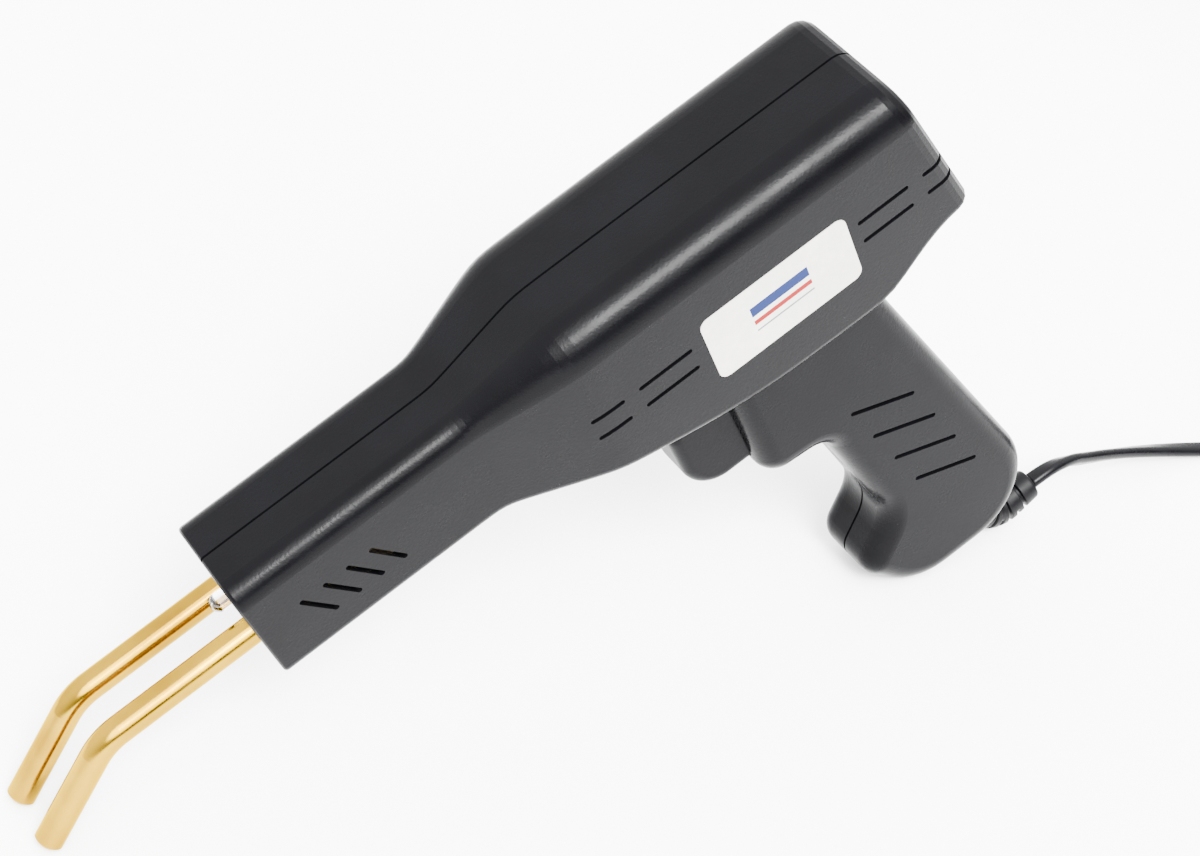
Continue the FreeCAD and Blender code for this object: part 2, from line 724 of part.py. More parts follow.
def core_e():
    top = CORE_HEIGHT / 2
    middle = LIMB
    back = core_box((0, LIMB), (-top, top))
    heights = ((-top, LIMB - top), (-middle, middle), (top - LIMB, top))
    limbs = [core_box((0, CORE_LENGTH - LIMB), z) for z in heights]
    return fuse([back] + limbs)


def ring_around_limb(x, inner_y, inner_z, thick, corner_r):
    """A rectangular sleeve round the core's middle limb, from x[0] to x[1]."""
    span = (CORE_X + x[0], CORE_X + x[1])
    wide, high = inner_y + thick, inner_z + thick
    outer = block(span, (-wide, wide), (CORE_Z - high, CORE_Z + high), corner_r, vec(1, 0, 0))
    hole = block((span[0] - 1, span[1] + 1), (-inner_y, inner_y), (CORE_Z - inner_z, CORE_Z + inner_z),
                 max(corner_r - thick, 0.3), vec(1, 0, 0))
    return outer.cut(hole)


def bobbin():
    tube = ring_around_limb((8.3, 41.7), 12.1, 8.1, 1.2, 1.2)
    ends = [ring_around_limb(x, 12.1, 8.1, 7.3, 2.0) for x in ((8.3, 9.5), (40.5, 41.7))]
    low, high = BAR_Z
    notches = [block((CORE_X + 7, CORE_X + 11), sorted((s * 17.2, s * 21)), (low - 0.2, high + 0.2))
               for s in (-1, 1)]
    return fuse([tube] + ends).cut(notches)


def flat_bar(points, radii, thick, z):
    """A flat bar on edge: it follows points in plan, `thick` wide there and spanning z."""
    turns = []
    count = len(points)
    for i in range(count):
        before = points[max(i - 1, 0)]
        after = points[min(i + 1, count - 1)]
        into = (points[i] - before).normalize() if i else (after - points[i]).normalize()
        out = (after - points[i]).normalize() if i < count - 1 else into
        half = (into + out).normalize()
        normal = vec(-half.y, half.x, 0) * (thick / 2 / half.dot(into))
        turns.append(normal)
    near = [p + n for p, n in zip(points, turns)]
    far = [p - n for p, n in zip(points, turns)]
    outline = near + far[::-1]
    curves = [0] + radii + [0]
    wire = rounded_wire(outline, curves + curves[::-1])
    face = Part.Face(wire)
    face.translate(vec(0, 0, z[0]))
    return face.extrude(vec(0, 0, z[1] - z[0]))


def secondary():
    """Two turns of thick copper with their ends run forward to the clamp blocks."""
    turns = [ring_around_limb(x, 17.4, 12.6, 3.0, 4.0) for x in ((12.5, 24.0), (25.0, 36.5))]
    bars = []
    for side in (-1, 1):
        bar_y = side * (BAR_IN + BAR_THICK / 2)
        coil_y = side * 18.9
        path = [vec(ROD_BACK + 2, bar_y, 0), vec(99, bar_y, 0),
                vec(110, coil_y, 0), vec(CORE_X + 14, coil_y, 0)]
        bars.append(flat_bar(path, [4.0, 4.0], BAR_THICK, BAR_Z))
    link = block((CORE_X + 23.5, CORE_X + 25.5), (-4, 4), (CORE_Z + 12.6, CORE_Z + 15.6))
    return fuse(turns + [link] + bars)


def core_band(x):
    return ring_around_limb((x, x + 5.0), CORE_HALF_STACK, CORE_HEIGHT / 2, 1.0, 1.2)


def thermal_fuse():
    body = rod(vec(CORE_X + 22, 0, 2.5), vec(CORE_X + 33, 0, 2.5), 1.5)
    leads = rod(vec(CORE_X + 14, 0, 2.5), vec(CORE_X + 41, 0, 2.5), 0.4)
    return fuse([body, leads])


def make_transformer():
    keep("core_e_stack", core_e())
    keep("core_i_stack", core_box((CORE_LENGTH - LIMB, CORE_LENGTH), (-CORE_HEIGHT / 2, CORE_HEIGHT / 2)))
    keep("core_bands", Part.makeCompound([core_band(1.2), core_band(CORE_LENGTH - LIMB + 1.2)]))
    keep("bobbin", bobbin())
    keep("primary_winding", ring_around_limb((10.0, 40.0), 13.3, 9.3, 3.2, 2.5))
    keep("secondary_winding", secondary())
    keep("thermal_fuse", thermal_fuse())


# ======================= wiring =======================

def wire(points, radius):
    """A thin wire along points; each bend is as wide as its two runs allow."""
    bends = wide_bends(points, 0.4)
    return tube_along(points, bends, radius)


def wide_bends(points, share):
    bends = []
    for i in range(1, len(points) - 1):
        before = points[i] - points[i - 1]
        after = points[i + 1] - points[i]
        turn = before.getAngle(after)
        bends.append(share * min(before.Length, after.Length) / math.tan(turn / 2))
    return bends


def make_wiring():
    line = [vec(198, 1.3, -158), vec(193.5, 1.7, -146), vec(185.5, 2.2, -132), vec(180, 1.5, -112),
            vec(177.2, 0, -98), vec(177.2, 0, -88)]
    keep("line_wire", wire(line, WIRE_R))
    neutral = [vec(198, -1.3, -158), vec(194.5, -3, -147), vec(188, -6.3, -131), vec(186.3, -7.9, -108),
               vec(184.8, -8.3, -84), vec(180.6, -8.6, -62), vec(177, -11, -45), vec(175, -14.3, -31),
               vec(170, -16.6, -24), vec(CORE_X + 41.7, -16.6, -22)]
    keep("neutral_wire", wire(neutral, WIRE_R))
    switched = [vec(172.6, 0, -88), vec(172.6, 0.6, -95), vec(174, 4.2, -100.5), vec(178.5, 7.4, -101),
                vec(182.2, 8.2, -95), vec(182.6, 8.5, -80), vec(180.8, 8.6, -62), vec(177, 11, -45),
                vec(175, 14.3, -31), vec(170, 16.6, -24), vec(CORE_X + 41.7, 16.6, -22)]
    keep("switched_wire", wire(switched, WIRE_R))
    pair = []
    for side in (-1, 1):
        path = [vec(16.4, side * 2.6, -10.5), vec(25, side * 2.6, -8), vec(62, side * 2.7, -7.5),
                vec(92, side * 4.5, -13.6), vec(111, side * 13.2, -14), vec(118, side * 14.8, -14),
                vec(CORE_X + 8.3, side * 16.2, -14)]
        pair.append(wire(path, 0.5))
    keep("led_wires", Part.makeCompound(pair))


# ======================= cord entry =======================

def boot():
    """Bend relief: a head inside the grip, a neck through its wall and a tail that turns rearwards."""
    tail_z = HEEL_Z - BOOT_DROP
    head = rod(vec(BOOT_X, 0, BOOT_HEAD_Z[0]), vec(BOOT_X, 0, BOOT_HEAD_Z[1]), BOOT_HEAD_R)
    neck = rod(vec(BOOT_X, 0, BOOT_HEAD_Z[0] + 0.4), vec(BOOT_X, 0, tail_z + BOOT_BEND), BOOT_NECK_R)
    centre = vec(BOOT_X + BOOT_BEND, 0, tail_z + BOOT_BEND)
    quarter = Part.makeTorus(BOOT_BEND, BOOT_NECK_R, centre, vec(0, 1, 0))
    quarter = quarter.common(block((BOOT_X - 10, centre.x), (-10, 10), (tail_z - 10, centre.z)))
    tail_length = BOOT_END - centre.x
    tail = Part.makeCone(BOOT_NECK_R, BOOT_TAIL_R, tail_length, vec(centre.x, 0, tail_z), vec(1, 0, 0))
    return fuse([head, neck, quarter, tail])


def make_cord_entry():
    keep("strain_relief_boot", boot())
    keep("cord_inside", rod(vec(BOOT_X, 0, BOOT_HEAD_Z[1]), vec(BOOT_X, 0, CORD_CLAMP_Z), CORD_R))
    bar = block((188.5, 207.5), (CORD_R, CORD_R + 3.2), (-171, -165), 0.6)
    keep("cord_clamp", bar.cut(posts(CLAMP_SCREWS, 1.0, -1, 10)))
    top = CORD_R + 3.2
    keep("cord_clamp_screws",
         Part.makeCompound([side_screw(x, z, -8.5, top, top + 1.5, 1.0, 2.0) for x, z in CLAMP_SCREWS]))


# ======================= free cord, in the standing tool's axes =======================

def cord_route(exit_point, exit_way):
    """The cord's way from the boot's end to the coil."""
    route = [exit_point, exit_point + exit_way * 5.0]
    route += [vec(x, y, z) for x, y, z in CORD_POINTS]
    return route


def coil_ring(inset):
    """The wound cord's outer shape, drawn in by `inset`."""
    half = COIL_WIDE * CORD_R - inset
    low, high = inset, CORD_THICK * COIL_HIGH - inset
    centre = vec(COIL_X, COIL_Y, low)
    solid = Part.makeCylinder(COIL_TURN_R + half, high - low, centre)
    solid = solid.cut(Part.makeCylinder(COIL_TURN_R - half, high - low, centre))
    return solid.makeFillet(2.4 - inset, [e for e in solid.Edges if len(e.Vertexes) == 1])


def coil_and_tie():
    """The coil, and a flat tie round its section that is pulled flush with the turns."""
    ring = coil_ring(0.0)
    band = block((0, 60), (-3, 3), (-5, 20))
    band.rotate(vec(0, 0, 0), vec(0, 0, 1), TIE_ANGLE)
    band.translate(vec(COIL_X, COIL_Y, 0))
    band = band.cut(coil_ring(TIE_THICK))
    return ring.cut(band), ring.common(band)


def plug_parts(entry, way):
    """A flat two-pin plug lying on its side, its cord entering at `entry` and pins along `way`."""
    half = [(10, 5.0), (16, 7.0), (23, 13.0), (35, 13.0), (38, 11.0)]
    outline = [vec(x, y, -6.5) for x, y in half] + [vec(x, -y, -6.5) for x, y in half[::-1]]
    body = Part.Face(rounded_wire(outline, [0, 5, 3, 2, 0, 0, 2, 3, 5, 0])).extrude(vec(0, 0, 13.0))
    body = body.makeFillet(1.5, [e for e in body.Edges if abs(abs(e.CenterOfMass.z) - 6.5) < 0.01])
    tail = Part.makeCone(PLUG_TAIL_R, 5.0, 12.0, vec(0, 0, 0), vec(1, 0, 0))
    pins = []
    for side in (-1, 1):
        root = vec(38, side * PIN_SPACING / 2, 0)
        pin = rod(root, root + vec(PLUG_PIN_LENGTH, 0, 0), PLUG_PIN_R)
        rim = [e for e in pin.Edges if e.CenterOfMass.x > 38 + PLUG_PIN_LENGTH - 0.1]
        pins.append(fuse([pin.makeFillet(1.0, rim), rod(root - vec(5, 0, 0), root, PLUG_PIN_R - 0.5)]))
    body = fuse([body, tail]).cut(pins)
    placed = []
    heading = math.degrees(math.atan2(way.y, way.x))
    for shape in (body, Part.makeCompound(pins)):
        shape.rotate(vec(0, 0, 0), vec(0, 0, 1), heading)
        shape.translate(entry)
        placed.append(shape)
    return placed


def make_free_cord(exit_point, exit_way):
    route = cord_route(exit_point, exit_way)
    bends = wide_bends(route, 0.45)
    print("cord bends", [round(b, 1) for b in bends])
    keep("supply_cord", tube_along(route, bends, CORD_R))
    tail = [vec(x, y, z) for x, y, z in TAIL_POINTS]
    bends = wide_bends(tail, 0.45)
    print("tail bends", [round(b, 1) for b in bends])
    keep("cord_tail", tube_along(tail, bends, CORD_R))
    coil, tie = coil_and_tie()
    keep("cord_coil", coil)
    keep("coil_tie", tie)
    body, pins = plug_parts(tail[-1], tail[-1] - tail[-2])
    keep("plug_body", body)
    keep("plug_pins", pins)


# ======================= assembly =======================

def stance():
    """The shift that puts the pitched tool's box centre at x = 0 and its feet at z = 0."""
    pitch = math.radians(PITCH)
    steep = math.radians(PITCH + BEND_ANGLE)
    x, z = BACK_ROUND
    rear = x * math.cos(pitch) - z * math.sin(pitch) + BACK_R
    bend = BEND_X * math.cos(pitch) - ROD_Z * math.sin(pitch)
    front = bend - (tip_length() - TIP_CHAMFER) * math.cos(steep) - ROD_R * math.sin(steep)
    return vec(-(front + rear) / 2, 0, -ground_height())


def pitched(point):
    return Part.Vertex(point).rotate(vec(0, 0, 0), vec(0, 1, 0), -PITCH).Point


def place_tool(shift):
    for node in OUT:
        OUT[node].rotate(vec(0, 0, 0), vec(0, 1, 0), -PITCH)
        OUT[node].translate(shift)


def report_places(shift):
    """The joint and mount points in the standing tool's axes."""
    print("shift", shift, "tip length", round(tip_length(), 3))
    print("slide axis", pitched(vec(1, 0, 0)), "tip axis", pitched(tip_direction()))
    print("lever pivot", pitched(vec(PIVOT_X, 0, PIVOT_Z)) + shift)
    for side in (-1, 1):
        end = vec(BEND_X, side * ROD_Y, ROD_Z) + tip_direction() * tip_length()
        print("tip end", pitched(end) + shift)
    way = vec(*TAIL_POINTS[-1]) - vec(*TAIL_POINTS[-2])
    way = vec(way.x, way.y, 0).normalize()
    for side in (-1, 1):
        across = vec(-way.y, way.x, 0) * side * PIN_SPACING / 2
        print("pin middle", vec(*TAIL_POINTS[-1]) + way * (38 + PLUG_PIN_LENGTH / 2) + across, "way", way)


def main():
    os.makedirs("parts", exist_ok=True)
    make_shell()
    make_nose()
    make_trigger_group()
    make_transformer()
    make_wiring()
    make_cord_entry()
    shift = stance()
    place_tool(shift)
    report_places(shift)
    boot_end = pitched(vec(BOOT_END, 0, HEEL_Z - BOOT_DROP)) + shift
    make_free_cord(boot_end, pitched(vec(1, 0, 0)))
    for node, shape in OUT.items():
        shape.exportStep("parts/%s.step" % node)
        print(node, round(shape.Volume, 1), shape.isValid(), len(shape.Solids))


main()
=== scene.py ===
"""Looks of a hand-held hot stapler standing on its electrode tips and the heel of its grip.

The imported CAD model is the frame. This script adds the camera, the light, the materials, and the
pieces whose looks go beyond the CAD: the flat supply cord, its ribbed bend relief and the spring.
Lengths are in metres.
"""

import json
import math

import bmesh
import bpy
from mathutils import Matrix, Vector


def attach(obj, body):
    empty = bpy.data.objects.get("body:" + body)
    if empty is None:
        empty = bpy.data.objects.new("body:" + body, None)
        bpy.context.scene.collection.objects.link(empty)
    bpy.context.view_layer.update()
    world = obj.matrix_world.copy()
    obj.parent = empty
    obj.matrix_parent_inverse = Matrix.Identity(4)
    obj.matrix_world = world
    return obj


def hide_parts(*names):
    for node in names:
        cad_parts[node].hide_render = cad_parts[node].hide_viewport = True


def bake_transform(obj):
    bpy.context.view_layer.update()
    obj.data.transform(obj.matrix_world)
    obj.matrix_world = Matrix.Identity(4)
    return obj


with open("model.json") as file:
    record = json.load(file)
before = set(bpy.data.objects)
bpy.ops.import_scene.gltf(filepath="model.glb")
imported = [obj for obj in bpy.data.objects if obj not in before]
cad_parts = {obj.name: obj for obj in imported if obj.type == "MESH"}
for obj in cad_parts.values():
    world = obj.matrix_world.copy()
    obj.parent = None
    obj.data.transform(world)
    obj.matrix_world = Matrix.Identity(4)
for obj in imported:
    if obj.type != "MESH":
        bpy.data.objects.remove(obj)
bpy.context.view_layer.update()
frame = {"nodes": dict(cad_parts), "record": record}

# ---- stance of the tool, as in the CAD model ----
PITCH = math.radians(30.5)
ALONG = Vector((math.cos(PITCH), 0.0, math.sin(PITCH)))      # back along the tool's own axis
UPWARD = Vector((-math.sin(PITCH), 0.0, math.cos(PITCH)))    # up, square to that axis
SHIFT = Vector((-0.11207, 0.0, 0.075241))

# ---- camera ----
CAMERA_AT = (-0.3818, -0.5152, 0.5577)
CAMERA_HEADING = math.radians(37.03)     # from +Y towards +X
CAMERA_DROP = math.radians(36.31)        # below the horizon
CAMERA_ROLL = math.radians(9.05)
LENS = 88.59                             # on a 36 mm wide sensor

# ---- studio ----
FLOOR_HALF = 4.0
FLOOR_LEVEL = -0.0002                    # just under the table plane, so that nothing flickers
FLOOR_PALE = (0.94, 0.94, 0.945)
# painted shade: the floor turns grey far from the tool, for the dim far side of the studio that the tool
# reflects
FLOOR_PAINTED_SHADE = (0.30, 0.30, 0.305)
FLOOR_SHADE_REACH = (0.45, 1.1)              # distances from the tool between which the painted shade comes in
SUNS = [                                 # name, where from, width in degrees, strength
    ("key", (-0.22, -0.66, 0.72), 60, 14.0),
    ("kicker", (-0.22, -0.66, 0.72), 21, 17.0),
    ("fill", (0.55, -0.15, 0.80), 60, 2.0),
]
BACKDROP_WAY = (-0.28, 0.64, 0.71)       # where the bright backdrop stands
BACKDROP_EDGES = (-0.65, 0.9)            # cosines from that way, at its dim and bright edge
BACKDROP_BRIGHT = 6.0
BACKDROP_DIM = 0.15

# ---- supply cord ----
CORD_PITCH = 0.0052                      # space that one turn takes beside the next
CORD_LAYER = 0.0034                      # and on the next
CORD_WIDTH = 0.0056
CORD_THICK = 0.0036
CORD_ROLL = math.radians(50)             # how far it turns on its own axis near the tool
CORD_TWIST = 0.022                       # distance from the tool to the most turned place
CORD_UNROLL = 0.085                      # and to where it lies flat
CORD_EXIT = (0.17635, 0.0, 0.01394)
CORD_POINTS = [
    (0.1798, -0.0001, 0.0160),
    (0.1853, 0.0000, 0.0179),
    (0.1925, 0.0011, 0.0171),
    (0.2005, 0.0025, 0.0144),
    (0.2100, 0.0040, 0.0118),
    (0.2238, 0.0055, 0.0080),
    (0.2385, 0.0054, 0.0046),
    (0.2541, 0.0027, 0.0024),
    (0.2655, -0.0010, 0.0019),
    (0.2765, -0.0066, 0.0019),
    (0.2870, -0.0143, 0.0019),
]
COIL_CENTRE = (0.3120, 0.0040)
COIL_TURN_R = 0.0234
COIL_WIDE = 3
COIL_START = math.radians(240)           # where the cord joins the coil
COIL_TURNS = 11.111
STEP_AT = math.radians(60)               # where each turn moves over to the next one
STEP_SHARE = 0.34                        # and how much of a turn that takes
POINTS_A_TURN = 24
TAIL_POINTS = [
    (0.3288, -0.0221, 0.0100),
    (0.3406, -0.0188, 0.0077),
    (0.3470, -0.0164, 0.0066),
    (0.3528, -0.0143, 0.0065),
]

# ---- label ----
LABEL_PAPER = (0.50, 0.485, 0.455)
LABEL_PAPER_DIM = (0.43, 0.42, 0.395)
LABEL_MIDDLE = (161.5, 0.0, -28.75)      # millimetres along the tool's own axes
LABEL_BLUE = (0.003, 0.009, 0.050)
LABEL_RED = (0.15, 0.0015, 0.002)
LABEL_GREY = (0.10, 0.10, 0.105)
LABEL_BARS = [                           # ink, middle and half along, middle and half up
    (LABEL_BLUE, (0.0, 9.5e-3), (3.4e-3, 1.9e-3)),
    (LABEL_RED, (0.0, 9.5e-3), (-1.2e-3, 0.9e-3)),
    (LABEL_GREY, (0.0, 9.5e-3), (-4.6e-3, 0.35e-3)),
]

# ---- bend relief ----
BOOT_ROOT_R = 0.0060
BOOT_R = 0.0049
BOOT_TAPER_FROM = 0.66                   # share of its length before the taper
BOOT_RIBS = (0.08, 0.86)                 # the slotted share of its length
BOOT_SLOTS = 8
BOOT_SLOT_DEPTH = 0.0014
BOOT_LEAN = math.radians(35)             # the slots' open sides, round from the tool's right
BOOT_X = 198.0                           # millimetres along the tool's own axes, from here on
BOOT_TOP = -184.0
BOOT_BEND_TOP = -190.2
BOOT_BEND_R = 9.0
BOOT_BEND_STEPS = 8
BOOT_END = 217.4

# ---- trigger spring, in millimetres along the tool's own axes ----
SPRING_FRONT = 145.0
SPRING_BACK = 167.0
SPRING_LEVEL = -88.5
SPRING_R = 3.2
SPRING_WIRE_R = 0.35
SPRING_TURNS = 8
SPRING_STEPS = 24                        # sections a turn
SPRING_SIDES = 8                         # corners of one section


def gun_point(x, y, z):
    """A point of the standing tool, from millimetres along its own axes."""
    return ALONG * (x / 1000) + UPWARD * (z / 1000) + Vector((0, y / 1000, 0)) + SHIFT


# ======================= camera, floor and light =======================

def place_camera():
    forward = Vector((math.sin(CAMERA_HEADING) * math.cos(CAMERA_DROP),
                      math.cos(CAMERA_HEADING) * math.cos(CAMERA_DROP),
                      -math.sin(CAMERA_DROP)))
    level = Vector((math.cos(CAMERA_HEADING), -math.sin(CAMERA_HEADING), 0.0))
    right = Matrix.Rotation(-CAMERA_ROLL, 3, forward) @ level
    up = right.cross(forward)
    data = bpy.data.cameras.new("camera")
    data.lens = LENS
    data.sensor_width = 36.0
    data.clip_start = 0.01
    data.clip_end = 50.0
    camera = bpy.data.objects.new("camera", data)
    turn = Matrix((right, up, -forward)).transposed()
    camera.matrix_world = Matrix.Translation(CAMERA_AT) @ turn.to_4x4()
    bpy.context.collection.objects.link(camera)
    bpy.context.scene.camera = camera


def soft_sun(name, from_way, width_deg, strength):
    """Even light from a wide disc of sky."""
    data = bpy.data.lights.new(name, "SUN")
    data.energy = strength
    data.angle = math.radians(width_deg)
    light = bpy.data.objects.new(name, data)
    light.rotation_euler = Vector(from_way).to_track_quat("Z", "Y").to_euler()
    bpy.context.collection.objects.link(light)


def flat_sheet(name, half, height):
    """A horizontal square, for the floor."""
    mesh = bpy.data.meshes.new(name)
    corners = [(-half, -half), (half, -half), (half, half), (-half, half)]
    mesh.from_pydata([(x, y, height) for x, y in corners], [], [(0, 1, 2, 3)])
    sheet = bpy.data.objects.new(name, mesh)
    bpy.context.collection.objects.link(sheet)
    return sheet


def make_backdrop():
    """Light from all round: bright above and behind the tool, dim in front of it."""
    world = bpy.data.worlds.new("studio")
    world.use_nodes = True
    tree = world.node_tree
    way = tree.nodes.new("ShaderNodeTexCoord").outputs["Generated"]
    facing = tree.nodes.new("ShaderNodeVectorMath")
    facing.operation = "DOT_PRODUCT"
    facing.inputs[1].default_value = BACKDROP_WAY
    tree.links.new(way, facing.inputs[0])
    spread = tree.nodes.new("ShaderNodeMapRange")
    spread.interpolation_type = "SMOOTHSTEP"
    spread.inputs["From Min"].default_value = BACKDROP_EDGES[0]
    spread.inputs["From Max"].default_value = BACKDROP_EDGES[1]
    spread.inputs["To Min"].default_value = BACKDROP_DIM
    spread.inputs["To Max"].default_value = BACKDROP_BRIGHT
    tree.links.new(facing.outputs["Value"], spread.inputs["Value"])
    back = tree.nodes["Background"]
    back.inputs["Color"].default_value = (1.0, 1.0, 1.0, 1.0)
    tree.links.new(spread.outputs["Result"], back.inputs["Strength"])
    bpy.context.scene.world = world


def make_studio():
    floor = flat_sheet("floor", FLOOR_HALF, FLOOR_LEVEL)
    floor.data.materials.append(floor_material())
    for name, from_way, width_deg, strength in SUNS:
        soft_sun(name, from_way, width_deg, strength)
    make_backdrop()


# ======================= materials =======================

class Shader:
    """A material under construction: a Principled shader with helpers for its node tree."""

    def __init__(self, name, color, rough, metallic=0.0):
        self.material = bpy.data.materials.new(name)
        self.material.use_nodes = True
        self.tree = self.material.node_tree
        self.base = self.tree.nodes["Principled BSDF"]
        self.base.inputs["Base Color"].default_value = (*color, 1.0)
        self.base.inputs["Roughness"].default_value = rough
        self.base.inputs["Metallic"].default_value = metallic
        self.coords = self.node("ShaderNodeTexCoord").outputs["Object"]
        self.last_bump = None

    def node(self, kind, **values):
        made = self.tree.nodes.new(kind)
        for key, value in values.items():
            setattr(made, key, value)
        return made

    def link(self, source, target):
        self.tree.links.new(source, target)

    def stretched(self, scale, turn=(0.0, 0.0, 0.0)):
        """Object coordinates turned, then scaled along each axis."""
        mapping = self.node("ShaderNodeMapping")
        mapping.inputs["Rotation"].default_value = turn
        mapping.inputs["Scale"].default_value = scale
        self.link(self.coords, mapping.inputs["Vector"])
        return mapping.outputs["Vector"]

    def noise(self, scale, detail=3.0, rough=0.5, vector=None):
        made = self.node("ShaderNodeTexNoise")
        made.inputs["Scale"].default_value = scale
        made.inputs["Detail"].default_value = detail
        made.inputs["Roughness"].default_value = rough
        self.link(vector or self.coords, made.inputs["Vector"])
        return made.outputs["Fac"]

    def spread(self, source, low, high, from_low=0.3, from_high=0.7):
        """A factor mapped to the range low to high."""
        made = self.node("ShaderNodeMapRange")
        made.inputs["From Min"].default_value = from_low
        made.inputs["From Max"].default_value = from_high
        made.inputs["To Min"].default_value = low
        made.inputs["To Max"].default_value = high
        self.link(source, made.inputs["Value"])
        return made.outputs["Result"]

    def ramp(self, source, stops):
        made = self.node("ShaderNodeValToRGB")
        elements = made.color_ramp.elements
        while len(elements) < len(stops):
            elements.new(0.5)
        for element, (place, color) in zip(elements, stops):
            element.position = place
            element.color = (*color, 1.0)
        self.link(source, made.inputs["Fac"])
        return made.outputs["Color"]

    def bump(self, height, strength, distance):
        made = self.node("ShaderNodeBump")
        made.inputs["Strength"].default_value = strength
        made.inputs["Distance"].default_value = distance
        self.link(height, made.inputs["Height"])
        if self.last_bump:
            self.link(self.last_bump, made.inputs["Normal"])
        self.last_bump = made.outputs["Normal"]
        self.link(self.last_bump, self.base.inputs["Normal"])

    def dot(self, way, offset):
        """Distance along a direction from a place, in object coordinates."""
        made = self.node("ShaderNodeVectorMath", operation="DOT_PRODUCT")
        made.inputs[1].default_value = way
        self.link(self.coords, made.inputs[0])
        moved = self.node("ShaderNodeMath", operation="SUBTRACT")
        self.link(made.outputs["Value"], moved.inputs[0])
        moved.inputs[1].default_value = offset
        return moved.outputs[0]

    def label_axes(self):
        """Distances from the label's middle, along the tool and up across it."""
        middle = gun_point(*LABEL_MIDDLE)
        return self.dot(ALONG, ALONG.dot(middle)), self.dot(UPWARD, UPWARD.dot(middle))

    def band(self, distance, middle, half):
        """1 within `half` of `middle`, else 0."""
        made = self.node("ShaderNodeMath", operation="COMPARE")
        self.link(distance, made.inputs[0])
        made.inputs[1].default_value = middle
        made.inputs[2].default_value = half
        return made.outputs[0]

    def product(self, first, second):
        made = self.node("ShaderNodeMath", operation="MULTIPLY")
        self.link(first, made.inputs[0])
        self.link(second, made.inputs[1])
        return made.outputs[0]

    def mixed(self, factor, color, ink):
        """A colour with another one over it where the factor is 1."""
        made = self.node("ShaderNodeMix", data_type="RGBA")
        self.link(factor, made.inputs["Factor"])
        self.link(color, made.inputs[6])
        made.inputs[7].default_value = (*ink, 1.0)
        return made.outputs[2]

    def set(self, socket, source):
        self.link(source, self.base.inputs[socket])


def floor_material():
    """A pale sheet with painted shade: it turns a little greyer far from the tool, for the dim far side
    of the studio.
    """
    shader = Shader("studio_floor", FLOOR_PALE, 0.6)
    reach = shader.node("ShaderNodeVectorMath", operation="LENGTH")
    shader.link(shader.coords, reach.inputs[0])
    # painted shade, growing with distance from the tool
    tone = shader.spread(reach.outputs["Value"], 0.0, 1.0, *FLOOR_SHADE_REACH)
    shader.set("Base Color", shader.ramp(tone, [(0.0, FLOOR_PALE), (1.0, FLOOR_PAINTED_SHADE)]))
    return shader.material


def moulded_plastic(name, dark, light, rough, grain=1150.0, depth=0.00006):
    """Spark-textured moulded plastic: a fine grain, slow colour drift and uneven gloss."""
    shader = Shader(name, dark, rough)
    shader.set("Base Color", shader.ramp(shader.noise(55.0, 4.0), [(0.35, dark), (0.7, light)]))
    shader.set("Roughness", shader.spread(shader.noise(90.0, 5.0), rough - 0.05, rough + 0.06))
    shader.base.inputs["Specular IOR Level"].default_value = 0.035
    shader.bump(shader.noise(grain, 1.0, 0.5), 0.6, depth)
    return shader.material


def polished_brass(name, pale, deep, rough, axis_turn=(0.0, 0.0, 0.0)):
    """Drawn brass rod: faint lengthwise draw lines, heat tint and soft smudges."""
    shader = Shader(name, pale, rough, 1.0)
    shader.set("Base Color", shader.ramp(shader.noise(38.0, 4.0), [(0.3, deep), (0.65, pale)]))
    lines = shader.noise(900.0, 2.0, 0.5, shader.stretched((0.04, 1.0, 1.0), axis_turn))
    smudge = shader.noise(70.0, 5.0, 0.6)
    shader.set("Roughness", shader.spread(smudge, rough - 0.04, rough + 0.10))
    shader.base.inputs["Specular Tint"].default_value = (1.0, 0.86, 0.45, 1.0)
    shader.bump(lines, 0.10, 0.00003)
    return shader.material


def metal(name, color, rough, scale=400.0, strength=0.2):
    shader = Shader(name, color, rough, 1.0)
    darker = tuple(c * 0.8 for c in color)
    shader.set("Base Color", shader.ramp(shader.noise(scale * 0.2, 3.0), [(0.35, darker), (0.65, color)]))
    shader.set("Roughness", shader.spread(shader.noise(scale, 4.0), rough - 0.06, rough + 0.08))
    shader.bump(shader.noise(scale * 2, 2.0), strength, 0.00004)
    return shader.material


def laminations():
    """Stacked steel sheets: fine lines across the stack."""
    shader = Shader("laminations", (0.22, 0.23, 0.25), 0.45, 1.0)
    stripes = shader.node("ShaderNodeTexWave", wave_type="BANDS", bands_direction="Y")
    stripes.inputs["Scale"].default_value = 320.0
    stripes.inputs["Distortion"].default_value = 0.6
    shader.link(shader.coords, stripes.inputs["Vector"])
    steel = [(0.1, (0.08, 0.08, 0.09)), (0.5, (0.30, 0.31, 0.33))]
    shader.set("Base Color", shader.ramp(stripes.outputs["Fac"], steel))
    shader.bump(stripes.outputs["Fac"], 0.5, 0.0001)
    return shader.material


def wound_wire(name, dark, light):
    """Turns of enamelled wire side by side round the coil's axis; the dark part of each stripe is painted
    shade between the turns.
    """
    shader = Shader(name, light, 0.3, 0.9)
    stripes = shader.node("ShaderNodeTexWave", wave_type="BANDS", bands_direction="X")
    stripes.inputs["Scale"].default_value = 420.0
    shader.link(shader.stretched((1, 1, 1), (0, PITCH, 0)), stripes.inputs["Vector"])
    # painted shade: each stripe darkens towards the gap between turns
    shader.set("Base Color", shader.ramp(stripes.outputs["Fac"], [(0.1, dark), (0.6, light)]))
    shader.bump(stripes.outputs["Fac"], 0.8, 0.0002)
    return shader.material


def clear_resin():
    shader = Shader("clear_resin", (0.97, 0.98, 1.0), 0.03)
    shader.base.inputs["Transmission Weight"].default_value = 1.0
    shader.base.inputs["IOR"].default_value = 1.52
    shader.set("Roughness", shader.spread(shader.noise(300.0), 0.01, 0.05))
    return shader.material


